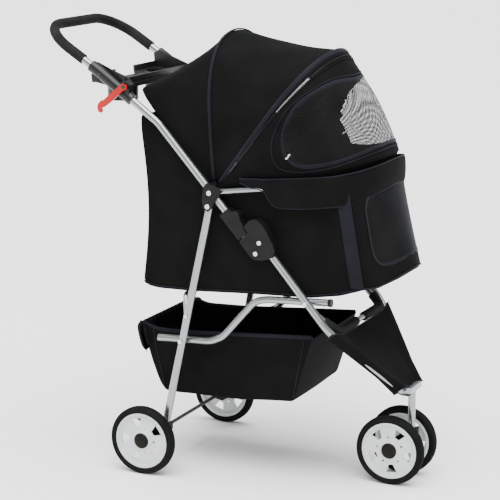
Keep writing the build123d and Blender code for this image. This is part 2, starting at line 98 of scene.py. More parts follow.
def sheet_from(name, rows, wrap=False, keep=None):
    """A surface through rows of points. keep(i, j) says which cells stay."""
    wide = len(rows[0])
    points = [p for row in rows for p in row]
    last = wide if wrap else wide - 1
    faces = [(i * wide + j, i * wide + (j + 1) % wide, (i + 1) * wide + (j + 1) % wide, (i + 1) * wide + j)
             for i in range(len(rows) - 1) for j in range(last) if keep is None or keep(i, j)]
    obj = mesh_object(name, points, faces)
    return obj


def thicken(obj, thickness, offset=-1.0, levels=1):
    solid = obj.modifiers.new("thickness", "SOLIDIFY")
    solid.thickness = thickness * MM
    solid.offset = offset
    if levels:
        smooth = obj.modifiers.new("smooth", "SUBSURF")
        smooth.levels = smooth.render_levels = levels
    return obj


def smooth_line(points, steps, closed=False):
    """Points along a Catmull-Rom curve through the given ones."""
    points = [Vector(p) for p in points]
    count = len(points)
    out = []
    spans = count if closed else count - 1
    for k in range(spans):
        if closed:
            a, b, c, d = (points[(k + n) % count] for n in (-1, 0, 1, 2))
        else:
            b, c = points[k], points[k + 1]
            a = points[k - 1] if k else b * 2 - c
            d = points[k + 2] if k + 2 < count else c * 2 - b
        for n in range(steps):
            t = n / steps
            out.append(0.5 * (2 * b + (c - a) * t + (2 * a - 5 * b + 4 * c - d) * t ** 2
                              + (3 * b - a - 3 * c + d) * t ** 3))
    if not closed:
        out.append(points[-1])
    return out


def even_line(points, count):
    """The same line, resampled to evenly spaced points."""
    reach = [0.0]
    for p, q in zip(points, points[1:]):
        reach.append(reach[-1] + (q - p).length)
    out, k = [], 0
    for n in range(count):
        goal = reach[-1] * n / (count - 1)
        while k < len(reach) - 2 and reach[k + 1] < goal:
            k += 1
        span = reach[k + 1] - reach[k]
        out.append(points[k].lerp(points[k + 1], (goal - reach[k]) / span if span else 0.0))
    return out


def rope(name, line, radius, sides=8, closed=False, flat=1.0, up=None):
    """A round or oval bead along a line, in millimetres."""
    rings = []
    side = None
    count = len(line)
    for k, p in enumerate(line):
        if closed:
            way = (line[(k + 1) % count] - line[k - 1]).normalized()
        else:
            way = (line[min(k + 1, count - 1)] - line[max(k - 1, 0)]).normalized()
        if up is not None:
            side = way.cross(up[k] if isinstance(up, list) else up).normalized()
        elif side is None:
            side = way.orthogonal().normalized()
        else:
            side = (side - way * side.dot(way)).normalized()
        lift = side.cross(way)
        rings.append([p + (side * cos(tau * n / sides) * flat + lift * sin(tau * n / sides)) * radius * MM
                      for n in range(sides)])
    if closed:
        rings.append(rings[0])
    obj = sheet_from(name, rings, wrap=True)
    if not closed:
        mesh = obj.data
        ends = [list(range(sides))[::-1], [len(mesh.vertices) - sides + n for n in range(sides)]]
        points = [v.co.copy() for v in mesh.vertices]
        faces = [tuple(p.vertices) for p in mesh.polygons] + [tuple(e) for e in ends]
        fresh = bpy.data.meshes.new(name)
        fresh.from_pydata(points, [], faces)
        fresh.shade_smooth()
        obj.data = fresh
    return obj


# ------------------------------------------------------------------ materials
def new_material(name, color, roughness, metallic=0.0, **sockets):
    material = bpy.data.materials.new(name)
    material.use_nodes = True
    shader = material.node_tree.nodes["Principled BSDF"]
    shader.inputs["Base Color"].default_value = (*color, 1)
    shader.inputs["Roughness"].default_value = roughness
    shader.inputs["Metallic"].default_value = metallic
    for key, value in sockets.items():
        shader.inputs[key.replace("_", " ")].default_value = value
    return material


def add_noise_color(material, color, other, scale, detail=4.0):
    """Lets the base colour wander between two colours."""
    tree = material.node_tree
    coord = tree.nodes.new("ShaderNodeTexCoord")
    tex = tree.nodes.new("ShaderNodeTexNoise")
    ramp = tree.nodes.new("ShaderNodeValToRGB")
    tex.inputs["Scale"].default_value = scale
    tex.inputs["Detail"].default_value = detail
    ramp.color_ramp.elements[0].position, ramp.color_ramp.elements[1].position = 0.35, 0.65
    ramp.color_ramp.elements[0].color = (*color, 1)
    ramp.color_ramp.elements[1].color = (*other, 1)
    tree.links.new(coord.outputs["Object"], tex.inputs["Vector"])
    tree.links.new(tex.outputs["Fac"], ramp.inputs["Fac"])
    tree.links.new(ramp.outputs["Color"], tree.nodes["Principled BSDF"].inputs["Base Color"])
    return material


def add_bump(material, height, distance, strength=1.0):
    tree = material.node_tree
    bump = tree.nodes.new("ShaderNodeBump")
    bump.inputs["Distance"].default_value = distance
    bump.inputs["Strength"].default_value = strength
    tree.links.new(height, bump.inputs["Height"])
    tree.links.new(bump.outputs["Normal"], tree.nodes["Principled BSDF"].inputs["Normal"])


def noise_height(material, scale, detail=3.0, stretch=(1, 1, 1)):
    tree = material.node_tree
    coord = tree.nodes.new("ShaderNodeTexCoord")
    mapping = tree.nodes.new("ShaderNodeMapping")
    mapping.inputs["Scale"].default_value = stretch
    tex = tree.nodes.new("ShaderNodeTexNoise")
    tex.inputs["Scale"].default_value = scale
    tex.inputs["Detail"].default_value = detail
    tree.links.new(coord.outputs["Object"], mapping.inputs["Vector"])
    tree.links.new(mapping.outputs["Vector"], tex.inputs["Vector"])
    return tex.outputs["Fac"]


def weave_height(material, pitch):
    """Crossing threads from three sets of bands, so the weave shows on faces of any slope."""
    tree = material.node_tree
    coord = tree.nodes.new("ShaderNodeTexCoord")
    total = None
    for direction in ("X", "Y", "Z"):
        band = tree.nodes.new("ShaderNodeTexWave")
        band.bands_direction = direction
        band.inputs["Scale"].default_value = 1 / (pitch * MM) / 20 * pi
        band.inputs["Distortion"].default_value = 0.6
        band.inputs["Detail Scale"].default_value = 3.0
        tree.links.new(coord.outputs["Object"], band.inputs["Vector"])
        if total is None:
            total = band.outputs["Fac"]
        else:
            add = tree.nodes.new("ShaderNodeMath")
            add.operation = "ADD"
            tree.links.new(total, add.inputs[0])
            tree.links.new(band.outputs["Fac"], add.inputs[1])
            total = add.outputs[0]
    return total


def fabric(name, color, other, pitch, roughness=0.85, sheen=0.008, depth=0.0003):
    material = new_material(name, color, roughness, Sheen_Weight=sheen, Sheen_Roughness=0.45,
                            Specular_IOR_Level=0.05)
    material.node_tree.nodes["Principled BSDF"].inputs["Sheen Tint"].default_value = (0.75, 0.8, 1, 1)
    add_noise_color(material, color, other, 14.0)
    tree = material.node_tree
    mix = tree.nodes.new("ShaderNodeMath")
    mix.operation = "MULTIPLY_ADD"
    mix.inputs[1].default_value = 0.35
    tree.links.new(weave_height(material, pitch), mix.inputs[0])
    tree.links.new(noise_height(material, 60.0), mix.inputs[2])
    add_bump(material, mix.outputs[0], depth, 0.8)
    return material


def plastic(name, color, other, roughness, grain=900.0, depth=0.00006, gloss=0.3):
    material = new_material(name, color, roughness, Specular_IOR_Level=gloss)
    add_noise_color(material, color, other, 30.0)
    add_bump(material, noise_height(material, grain), depth)
    return material


def metal(name, color, roughness, metallic, grain, depth, other=None):
    material = new_material(name, color, roughness, metallic)
    add_noise_color(material, color, other or tuple(c * 0.93 for c in color), 9.0)
    add_bump(material, noise_height(material, grain), depth)
    return material


OXFORD = fabric("oxford", (0.0030, 0.0031, 0.0031), (0.0046, 0.0047, 0.0047), 0.9)
OXFORD_DARK = fabric("oxford_dark", (0.003, 0.003, 0.0032), (0.0045, 0.0045, 0.0048), 0.9)
BINDING = fabric("binding", (0.0065, 0.0064, 0.009), (0.010, 0.0095, 0.014), 1.6, 0.6, 0.05, 0.0004)
MESH = fabric("mesh_thread", (0.006, 0.006, 0.006), (0.010, 0.010, 0.010), 0.7, 0.6, 0.05, 0.0001)
LINER = fabric("liner", (0.40, 0.42, 0.41), (0.46, 0.48, 0.47), 1.4, 0.85, 0.1, 0.0004)
SILVER = metal("silver_coat", (0.30, 0.315, 0.32), 0.22, 0.9, 700.0, 0.00003, (0.27, 0.285, 0.29))
ZINC = metal("zinc", (0.66, 0.66, 0.65), 0.3, 0.95, 300.0, 0.00005)
WIRE_BLACK = metal("black_coat", (0.012, 0.012, 0.013), 0.4, 0.2, 700.0, 0.00004, (0.02, 0.02, 0.021))
BLACK_PLASTIC = plastic("black_nylon", (0.004, 0.004, 0.0042), (0.007, 0.007, 0.0073), 0.45, gloss=0.14)
TRAY_PLASTIC = plastic("tray_plastic", (0.006, 0.006, 0.0062), (0.009, 0.009, 0.0093), 0.34, gloss=0.3)
GREY_PLASTIC = plastic("cap_plastic", (0.006, 0.006, 0.0045), (0.009, 0.0088, 0.007), 0.5, gloss=0.08)
PALE_PLASTIC = plastic("rim_plastic", (0.52, 0.545, 0.555), (0.58, 0.60, 0.61), 0.32, 500.0, 0.00005)
RED_PLASTIC = plastic("red_plastic", (0.34, 0.002, 0.002), (0.42, 0.004, 0.004), 0.32)
TYRE = plastic("tyre_foam", (0.004, 0.0045, 0.0042), (0.007, 0.0075, 0.0072), 0.75, 420.0, 0.0002, 0.06)
FOAM = plastic("grip_foam", (0.0085, 0.0085, 0.009), (0.014, 0.014, 0.0145), 0.85, 700.0, 0.0005, 0.08)
# painted highlight: a bright metal for the one stretch of zip teeth that catches the light
ZIP_GLINT_METAL = metal("zip_glint_metal", (0.5, 0.5, 0.51), 0.35, 0.9, 300.0, 0.00003)
ZIP_BLACK = plastic("zip_black", (0.006, 0.006, 0.0065), (0.012, 0.012, 0.0125), 0.3)

NODE_LOOKS = {
    "handle_tube": SILVER, "side_tube_left": SILVER, "side_tube_right": SILVER, "front_tube_left": SILVER,
    "front_tube_right": SILVER, "rear_leg_left": SILVER, "rear_leg_right": SILVER, "leg_cross_tube": SILVER,
    "brace_link_left": SILVER, "brace_link_right": SILVER, "rim_tube": SILVER, "crossbar_tube": SILVER,
    "basket_wire": SILVER, "foam_grip": FOAM, "drink_tray": TRAY_PLASTIC, "tray_screws": WIRE_BLACK,
    "hub_bracket_left": BLACK_PLASTIC, "hub_bracket_right": BLACK_PLASTIC, "hub_rivets": ZINC,
    "rear_bow": WIRE_BLACK, "front_bow": WIRE_BLACK, "lock_housing_left": BLACK_PLASTIC,
    "lock_housing_right": BLACK_PLASTIC, "front_frame_rivets": ZINC, "crossbar_sleeves": BLACK_PLASTIC,
    "caster_bracket": SILVER, "caster_stem": SILVER, "caster_fork": BLACK_PLASTIC, "front_axle": ZINC,
    "rear_axle": WIRE_BLACK, "axle_housings": BLACK_PLASTIC, "leg_rivets": ZINC, "link_caps": BLACK_PLASTIC,
    "brake_pedal_left": RED_PLASTIC, "brake_pedal_right": RED_PLASTIC, "lock_slider_left": BLACK_PLASTIC,
    "lock_slider_right": BLACK_PLASTIC, "storage_hook": RED_PLASTIC,
}
for end in ("front", "rear"):
    for side in ("left", "right"):
        NODE_LOOKS[f"{end}_tyre_{side}"] = TYRE
        NODE_LOOKS[f"{end}_rim_{side}"] = PALE_PLASTIC
        NODE_LOOKS[f"{end}_cap_{side}"] = GREY_PLASTIC
for name, material in NODE_LOOKS.items():
    node = frame["nodes"][name]
    node.data.materials.clear()
    node.data.materials.append(material)
BEVELS = {"drink_tray": 1.2, "lock_housing_left": 2.2, "lock_housing_right": 2.2, "hub_bracket_left": 1.0,
          "hub_bracket_right": 1.0, "lock_slider_left": 1.5, "lock_slider_right": 1.5, "caster_fork": 2.0,
          "axle_housings": 2.0, "storage_hook": 1.2, "brake_pedal_left": 1.2, "brake_pedal_right": 1.2}
for name, width in BEVELS.items():
    bevel = frame["nodes"][name].modifiers.new("soft edges", "BEVEL")
    bevel.width = width * MM
    bevel.segments = 3
    bevel.limit_method = "ANGLE"
    bevel.angle_limit = radians(35)


def subdivided(obj):
    """Round a surface off with one level of subdivision."""
    smooth = obj.modifiers.new("smooth", "SUBSURF")
    smooth.levels = smooth.render_levels = 1
    return obj


def finish_piece(obj, material, body=None, nodes=()):
    """Give a piece its material, its body and the CAD nodes that it stands for."""
    if material is not None and not obj.data.materials:
        obj.data.materials.append(material)
    if body:
        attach(obj, body)
    if nodes:
        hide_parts(*nodes)
    return obj


def wrinkled(point, size, scale, seed):
    """A small push from smooth noise, in metres."""
    return noise.noise(point * scale + Vector((seed, seed * 0.37, -seed))) * size * MM


# ------------------------------------------------------------------ hood
# Arches in planes through the hub: angle above forward, then (half width, height) from hub to crown.
ARCHES = {
    131.0: [(136, 22), (138, 120), (137, 205), (129, 258), (104, 275), (0, 277)],
    92.0: [(136, 22), (143, 120), (142, 205), (121, 268), (76, 310), (0, 326)],
    52.5: [(136, 22), (143, 140), (142, 238), (119, 307), (72, 350), (0, 366)],
    13.5: [(136, 22), (142, 140), (142, 235), (119, 307), (70, 342), (0, 352)],
}
HALF_STEPS = 36                         # points along an arch, from its crown to the hub
heart = at(HUB[0], 0, HUB[1] + 60)      # the point that the hood and the screen bulge away from


def outward(p):
    return (p - heart).normalized()


def arch(angle):
    """The whole arch at one of the listed angles, as (y, h) from the left hub to the right."""
    profile = ARCHES[angle]
    whole = [Vector((y, h, 0)) for y, h in profile] + [Vector((-y, h, 0)) for y, h in profile[-2::-1]]
    return [(p.x, p.y) for p in even_line(smooth_line(whole, 10), 2 * HALF_STEPS + 1)]


def on_arch(angle, y, h):
    """The point at y and h in the plane through the hub at an angle above forward."""
    return at(HUB[0] + h * cos(radians(angle)), y, HUB[1] + h * sin(radians(angle)))


def hood_panel(start, end, steps, sag, seed):
    """Rows of points from one arch to the next, sagging a little between the bows."""
    first = [on_arch(start, y, h) for y, h in arch(start)]
    last = [on_arch(end, y, h) for y, h in arch(end)]
    rows = []
    for i in range(steps + 1):
        t = i / steps
        row = []
        for p, q in zip(first, last):
            point = p.lerp(q, t)
            inward = (heart - point).normalized()
            rise = min(1.0, (point - heart).length / 0.25)
            depth = sag * sin(pi * t) * rise
            depth += wrinkled(point, 5.0, 9.0, seed) / MM * sin(pi * t) * rise
            row.append(point + inward * depth * MM)
        rows.append(row)
    return rows


REAR_EDGE, REAR_BOW, FRONT_BOW = 131.0, 92.0, 52.5
rear_rows = hood_panel(REAR_EDGE, REAR_BOW, 14, 7.0, 3.1)
crown_rows = hood_panel(REAR_BOW, FRONT_BOW, 14, 7.0, 8.4)
hood_rear = thicken(sheet_from("hood_rear", rear_rows), 1.6)
finish_piece(hood_rear, OXFORD, "upper_frame", ["canopy_rear"])
hood_crown = thicken(sheet_from("hood_crown", crown_rows), 1.6)
finish_piece(hood_crown, OXFORD, None, ["canopy_crown"])
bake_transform(hood_crown)


def bead_along(name, rows, radius, lift, flat=1.0):
    """A piped seam on the outside of a row of hood points."""
    line = [p + outward(p) * lift * MM for p in rows]
    return rope(name, line, radius, 8, flat=flat, up=[outward(p) for p in rows])


seam = bead_along("hood_rear_seam", rear_rows[-1], 1.6, 1.0, 2.2)
finish_piece(seam, BINDING, "upper_frame")
front_seam = bead_along("hood_front_seam", crown_rows[-1], 1.8, 1.0, 3.0)
finish_piece(front_seam, BINDING, "canopy_bow")

# ------------------------------------------------------------------ screen
SCREEN_START, SCREEN_END = 51.8, 13.5   # the screen's edges, as angles above forward
SCREEN_STEPS = 48
TUCK = 14                               # rows of cloth that go on down behind the bumper
FIRST_ARCH = [on_arch(SCREEN_START, y, h) for y, h in arch(FRONT_BOW)]
LAST_ARCH = [on_arch(SCREEN_END, y, h) for y, h in arch(SCREEN_END)]


def screen_point(angle, j):
    """A point on the screen at an angle and a fractional place along the arch."""
    k = min(int(j), 2 * HALF_STEPS - 1)
    p = FIRST_ARCH[k].lerp(FIRST_ARCH[k + 1], j - k)
    q = LAST_ARCH[k].lerp(LAST_ARCH[k + 1], j - k)
    t = (SCREEN_START - angle) / (SCREEN_START - SCREEN_END)
    point = p.lerp(q, min(t, 1.0))
    rise = min(1.0, (point - heart).length / 0.25)
    bulge = 10.0 * sin(pi * min(t, 1.0)) * rise ** 2 + wrinkled(point, 2.2, 16.0, 6.0) / MM
    point = point + outward(point) * bulge * MM
    if t > 1:
        along, past = (q - heart).length, t - 1
        tuck = Vector((-0.2 * past, -0.25 * past * (q.y / along), -0.42 * past))
        point += tuck * min(1.0, along / 0.2)
    return point


# the window's outline: (share of the way from crown to hub, angle above forward)
WINDOW = [(0, 17.6), (0.2, 17.2), (0.36, 16.2), (0.46, 16.8), (0.53, 18.6), (0.575, 22.5), (0.587, 28),
          (0.58, 33), (0.555, 38), (0.515, 41.6), (0.46, 44), (0.38, 45), (0.2, 43.4), (0, 41.2)]
ANGLE_SCALE = 60        # makes the two parts of the outline alike in size while it is smoothed
half_window = [Vector((c, a / ANGLE_SCALE, 0)) for c, a in WINDOW]
window_loop = half_window + [Vector((-p.x, p.y, 0)) for p in half_window[-2:0:-1]]
window_loop = [(p.x, p.y * ANGLE_SCALE) for p in smooth_line(window_loop, 8, closed=True)]


def inside(loop, x, y):
    """Whether a point is inside a closed outline."""
    odd = False
    for (x0, y0), (x1, y1) in zip(loop, loop[1:] + loop[:1]):
        if (y0 > y) != (y1 > y) and x < x0 + (y - y0) * (x1 - x0) / (y1 - y0):
            odd = not odd
    return odd


def grown(loop, share):
    """The same outline, larger by a share round its own middle."""
    middle_x = sum(x for x, y in loop) / len(loop)
    middle_y = sum(y for x, y in loop) / len(loop)
    return [(middle_x + (x - middle_x) * (1 + share), middle_y + (y - middle_y) * (1 + share))
            for x, y in loop]


WINDOW_SMALL, WINDOW_LARGE = grown(window_loop, -0.03), grown(window_loop, 0.03)
screen_step = (SCREEN_END - SCREEN_START) / SCREEN_STEPS
screen_rows = [[screen_point(SCREEN_START + screen_step * i, j) for j in range(2 * HALF_STEPS + 1)]
               for i in range(SCREEN_STEPS + TUCK + 1)]


def screen_cell(i, j):
    """Whether a cell of the screen's grid is cloth, not window."""
    across = (j + 0.5 - HALF_STEPS) / HALF_STEPS
    return not inside(WINDOW_SMALL, across, SCREEN_START + screen_step * (i + 0.5))


screen = thicken(sheet_from("screen_cloth", screen_rows, keep=screen_cell), 1.4, levels=0)
finish_piece(screen, OXFORD, "upper_frame", ["front_screen"])


def net(name, point_of, wide, tall, pitch, thread, kept):
    """A knitted net: diamond holes in a thin sheet, over a rectangle of (u, v) in millimetres."""
    points, faces = [], []
    inner = 1 - thread / pitch
    step = pitch / sqrt(2)
    for i in range(1, int(wide / step)):
        for j in range(1, int(tall / step)):
            u, v = i * step, j * step
            if (i + j) % 2 or not kept(u, v):
                continue
            base = len(points)
            corners = ((-step, 0), (0, -step), (step, 0), (0, step))
            points += [point_of(u + a, v + b) for a, b in corners]
            points += [point_of(u + a * inner, v + b * inner) for a, b in corners]
            faces += [(base + n, base + (n + 1) % 4, base + 4 + (n + 1) % 4, base + 4 + n) for n in range(4)]
    return mesh_object(name, points, faces, smooth=False)


MESH_PITCH, MESH_THREAD = 3.0, 1.15     # millimetres
NET_REACH = 0.62                        # the net's half width, as a share of the way from crown to hub
LOW_ANGLE, HIGH_ANGLE = 13.6, 47.0
crown_line = [screen_point(30, HALF_STEPS + n) for n in range(int(HALF_STEPS * NET_REACH) + 1)]
arc_mm = sum((p - q).length for p, q in zip(crown_line, crown_line[1:])) * 2 / MM
tall_mm = (screen_point(HIGH_ANGLE, HALF_STEPS) - screen_point(LOW_ANGLE, HALF_STEPS)).length / MM


def window_place(u, v):
    """Millimetres over the screen as (angle, place along the arch)."""
    angle = LOW_ANGLE + (HIGH_ANGLE - LOW_ANGLE) * v / tall_mm
    return angle, HALF_STEPS + HALF_STEPS * NET_REACH * (2 * u / arc_mm - 1)


def in_window(u, v):
    angle, j = window_place(u, v)
    return inside(WINDOW_LARGE, (j - HALF_STEPS) / HALF_STEPS, angle)


window = net("screen_mesh", lambda u, v: screen_point(*window_place(u, v)), arc_mm, tall_mm,
             MESH_PITCH, MESH_THREAD, in_window)
finish_piece(window, MESH, "upper_frame")
outline = [screen_point(a, HALF_STEPS + c * HALF_STEPS) for c, a in window_loop]
frame_tape = rope("screen_binding", outline, 0.9, 8, closed=True, flat=5.0, up=[outward(p) for p in outline])
finish_piece(frame_tape, BINDING, "upper_frame")
PIPING_TOP = 48.6       # the piping's highest angle, just below the zip
outline = [screen_point(min(a, PIPING_TOP), HALF_STEPS + c * HALF_STEPS) for c, a in grown(window_loop, 0.13)]
outer_piping = rope("screen_piping", [p + outward(p) * MM for p in outline], 1.2, 8, closed=True)
finish_piece(outer_piping, BINDING, "upper_frame")


# ------------------------------------------------------------------ zip along the front bow
def zip_line(angle, lift):
    """A line over the screen at one angle, lifted off it, that stops short of both hubs."""
    line = [screen_point(angle, j / 2) for j in range(5, 4 * HALF_STEPS - 4)]
    return [p + outward(p) * lift * MM for p in line]


zip_tapes = []
for n, angle in enumerate((51.0, 49.0)):
    line = zip_line(angle, 0.6)
    tape = rope(f"zip_tape_{n + 1}", line, 0.6, 6, flat=6.0, up=[outward(p) for p in line])
    zip_tapes.append(finish_piece(tape, OXFORD_DARK, "upper_frame"))

# a tooth's corners and faces
TOOTH = [(a, b, c) for c in (0, 1) for a, b in ((-1, -1), (1, -1), (1, 1), (-1, 1))]
TOOTH_FACES = ((0, 3, 2, 1), (4, 5, 6, 7), (0, 1, 5, 4), (1, 2, 6, 5), (2, 3, 7, 6), (3, 0, 4, 7))


def zip_teeth(name, line, material):
    """A row of small blocks along a line."""
    points, faces = [], []
    for p, q in zip(line[:-1:2], line[1::2]):
        way = (q - p).normalized()
        out = outward(p)
        side = way.cross(out).normalized()
        base = len(points)
        points += [p + (way * a * 0.6 + side * b * 1.9 + out * c * 1.2) * MM for a, b, c in TOOTH]
        faces += [tuple(base + v for v in face) for face in TOOTH_FACES]
    return finish_piece(mesh_object(name, points, faces, smooth=False), material, "upper_frame")


# painted highlight: only the part from zip_near to zip_top gets bright metal teeth, where the zip catches the
# light; the rest of the same teeth are black
teeth_line = even_line(zip_line(50.0, 1.2), 480)
zip_near, zip_top = len(teeth_line) * 66 // 100, len(teeth_line) * 78 // 100
coil_right = zip_teeth("zip_coil_right", teeth_line[zip_top:], ZIP_BLACK)
painted_glint_teeth = zip_teeth("zip_teeth", teeth_line[zip_near:zip_top], ZIP_GLINT_METAL)
coil_left = zip_teeth("zip_coil_left", teeth_line[:zip_near], ZIP_BLACK)


# a puller's sections: (share of its length, half width, height)
PULLER = [(0, 2.2, 2.0), (0.08, 3.4, 3.4), (0.25, 3.0, 3.6), (0.34, 1.4, 2.4), (0.5, 1.6, 1.6),
          (0.9, 2.4, 1.6), (1.0, 1.6, 1.4)]


def zip_pull(name, p, way, out, length, material):
    """A slider body with a tongue that hangs along way."""
    side = way.cross(out).normalized()
    rows = []
    for t, wide, high in PULLER:
        centre = p + way * length * t * MM + out * 2.2 * MM
        rows.append([centre + (side * cos(tau * n / 12) * wide + out * sin(tau * n / 12) * high * 0.6) * MM
                     for n in range(12)])
    return finish_piece(sheet_from(name, rows, wrap=True), material, "upper_frame")


low_p, low_q = teeth_line[-8], teeth_line[-22]
pull = zip_pull("zip_pull", low_q, (low_p - low_q).normalized(), outward(low_q), 26, ZIP_BLACK)
tab_p = screen_point(26.0, HALF_STEPS + 0.60 * HALF_STEPS)
tab = zip_pull("pull_tab", tab_p, Vector((0.55, 0, 0.8)).normalized(), outward(tab_p), 14, PALE_PLASTIC)

ON_SCREEN = [window, frame_tape, outer_piping, painted_glint_teeth, coil_left, coil_right, pull, tab, *zip_tapes]

# ------------------------------------------------------------------ cabin
CABIN_HALF = 134.5
BACK_FOOT, BACK_TOP = 412, 772.0        # heights of the back's edges
TUBE_BEND, TUBE_BEND_Z, TUBE_RISE = 21, 760, 0.727      # the side tube's bend and its slope behind it
# the cabin's bottom edge, as (ahead, height)
BOTTOM = [(-28, 412), (-10, 404), (14, 402), (86, 403), (227, 411), (364, 416), (430, 427), (478, 443)]


def rim_height(ahead):
    """Height of the rim's line, which slopes up to the front."""
    return HUB[1] + 0.1317 * (ahead - HUB[0])


def bottom_height(ahead):
    """Height of the cabin's bottom edge."""
    for (a, z), (b, w) in zip(BOTTOM, BOTTOM[1:]):
        if ahead <= b:
            return z + (w - z) * max(0.0, (ahead - a) / (b - a))
    return BOTTOM[-1][1]


def tube_height(ahead):
    """Height of the side tube's line above a place behind the hub."""
    if ahead >= TUBE_BEND:
        return HUB[1] + (ahead - HUB[0]) * (FOLD[1] - HUB[1]) / (FOLD[0] - HUB[0])
    return TUBE_BEND_Z + (TUBE_BEND - ahead) * TUBE_RISE


def side_top(ahead):
    """Height of a side's top edge: under the tube or level with the back, then under the rim."""
    return min(tube_height(ahead) - 2, BACK_TOP) if ahead < HUB[0] else rim_height(ahead) - 5


SIDE_COLUMNS, SIDE_ROWS = 56, 30


def side_rows(sign):
    """A side's rows from the bottom edge up, puffed out a little, with its rear edge drawn in."""
    rows = []
    for i in range(SIDE_ROWS + 1):
        t = i / SIDE_ROWS
        row = []
        for k in range(SIDE_COLUMNS + 1):
            s = k / SIDE_COLUMNS
            low_a, high_a = -27 + s * 507, -26 + s * 470
            low, high = bottom_height(low_a), side_top(high_a)
            ahead = low_a + (high_a - low_a) * t
            if s < 0.12:
                ahead += 14 * sin(pi * min(1, t * 1.1)) * (1 - s / 0.12)
            puff = 3.2 * sin(pi * t) ** 0.7 * sin(pi * s) ** 0.5
            point = at(ahead, sign * (CABIN_HALF + puff), low + (high - low) * t)
            push = wrinkled(point, 3.0, 7.0, 5.0 + sign) * sin(pi * t) * sin(pi * s)
            row.append(point + Vector((0, sign * push, 0)))
        rows.append(row)
    return rows


side_panels, side_hems = [], []
for sign, label in ((1, "left"), (-1, "right")):
    rows = side_rows(sign)
    panel = thicken(sheet_from(f"cabin_side_{label}", rows if sign < 0 else rows[::-1]), 1.6)
    side_panels.append(finish_piece(panel, OXFORD, "upper_frame", ["cabin_sides"]))
    hem_line = [p + Vector((0, sign * 1.2 * MM, 2 * MM)) for p in rows[0]]
    hem = rope(f"cabin_hem_{label}", hem_line, 1.4)
    side_hems.append(finish_piece(hem, BINDING, "upper_frame"))

back_rows = []
for i in range(25):
    t = i / 24
    row = []
    for k in range(25):
        s = k / 24
        z = BACK_FOOT + (BACK_TOP - BACK_FOOT) * t
        ahead = -27 + 14 * sin(pi * min(1, t * 1.1)) - 5 * sin(pi * t) * sin(pi * s)
        point = at(ahead, -CABIN_HALF + 2 * CABIN_HALF * s, z)
        row.append(point + Vector((wrinkled(point, 4.0, 6.0, 2.2) * sin(pi * t) * sin(pi * s), 0, 0)))
    back_rows.append(row)
back = thicken(sheet_from("cabin_back", back_rows), 1.6)
finish_piece(back, OXFORD, "upper_frame", ["cabin_rear"])

# the floor: straight rows, then a nose whose rows narrow towards the front, as (ahead, half width, height)
NOSE = [(506, 116, 448), (528, 62, 458), (541, 0, 468)]
floor_rows = []
for i in range(41):
    ahead = -25 + i * (503 / 40)
    floor_rows.append([at(ahead, y, bottom_height(ahead) + 1) for y in range(-134, 135, 67)])
for ahead, half, z in NOSE:
    floor_rows.append([at(ahead, half * f, z) for f in (-1, -0.5, 0, 0.5, 1)])
floor_panel = thicken(sheet_from("cabin_floor_board", floor_rows), 4.0, offset=1.0, levels=0)
finish_piece(floor_panel, OXFORD_DARK, "upper_frame", ["cabin_floor"])
liner_rows = [[p + Vector((0, -p.y * 0.04, 6.5 * MM)) for p in row] for row in floor_rows[1:-1]]
liner = sheet_from("cabin_liner", liner_rows)
finish_piece(thicken(liner, 5.0, levels=1), LINER, "upper_frame")

# the front wall: a bowed panel with a mesh window. Its edges are (ahead, half width, height).
FRONT_LOW = [(480, 135, 443), (507, 118, 447), (533, 62, 461), (546, 0, 470)]
FRONT_HIGH = [(443, 135, 655), (464, 115, 657), (482, 61, 660), (489, 0, 661)]


def whole_line(points):
    """A line from the right side to the left, from the left half of it."""
    return [at(a, -y, z) for a, y, z in points] + [at(a, y, z) for a, y, z in points[-2::-1]]


FRONT_STEPS, FRONT_ROWS = 60, 34
FRONT_WINDOW = (0.395, 0.53, 0.38)      # half width, middle height and half height, as shares of the wall
front_low = even_line(smooth_line(whole_line(FRONT_LOW), 12), FRONT_STEPS + 1)
front_high = even_line(smooth_line(whole_line(FRONT_HIGH), 12), FRONT_STEPS + 1)


def front_point(u, v):
    """A point on the front wall, u across and v up, both from 0 to 1."""
    k = min(int(u * FRONT_STEPS), FRONT_STEPS - 1)
    f = u * FRONT_STEPS - k
    low, high = front_low[k].lerp(front_low[k + 1], f), front_high[k].lerp(front_high[k + 1], f)
    return low.lerp(high, v)


def in_front_window(u, v, grow):
    """Whether a place is in the window, a rectangle with round corners, grown by a share of the wall."""
    c = abs(u - 0.5) / (FRONT_WINDOW[0] + grow)
    s = abs(v - FRONT_WINDOW[1]) / (FRONT_WINDOW[2] + grow)
    return c < 1 and s < 1 and c ** 5 + s ** 5 < 1


def front_cell(i, k):
    """Whether a cell of the wall's grid is cloth, not window."""
    return not in_front_window((k + 0.5) / FRONT_STEPS, (i + 0.5) / FRONT_ROWS, -0.008)


front_rows = [[front_point(k / FRONT_STEPS, i / FRONT_ROWS) for k in range(FRONT_STEPS + 1)]
              for i in range(FRONT_ROWS + 1)]
front = sheet_from("cabin_front_wall", front_rows, keep=front_cell)
finish_piece(thicken(front, 1.6, levels=0), OXFORD, "upper_frame", ["cabin_front"])
front_wide = sum((q - p).length for p, q in zip(front_low, front_low[1:])) / MM
front_tall = (front_point(0.5, 1) - front_point(0.5, 0)).length / MM
front_mesh = net("cabin_front_mesh", lambda u, v: front_point(u / front_wide, v / front_tall),
                 front_wide, front_tall, MESH_PITCH, MESH_THREAD,
                 lambda u, v: in_front_window(u / front_wide, v / front_tall, 0.012))
finish_piece(front_mesh, MESH, "upper_frame")
ring = []
for n in range(120):
    a = tau * n / 120
    c = abs(cos(a)) ** 0.4 * (1 if cos(a) > 0 else -1)
    s = abs(sin(a)) ** 0.4 * (1 if sin(a) > 0 else -1)
    ring.append(front_point(0.5 + FRONT_WINDOW[0] * c, FRONT_WINDOW[1] + FRONT_WINDOW[2] * s))
front_ring = rope("cabin_front_binding", ring, 1.0, 8, closed=True, flat=3.5, up=Vector((0.93, 0, 0.35)))
finish_piece(front_ring, BINDING, "upper_frame")
corner_beads = []
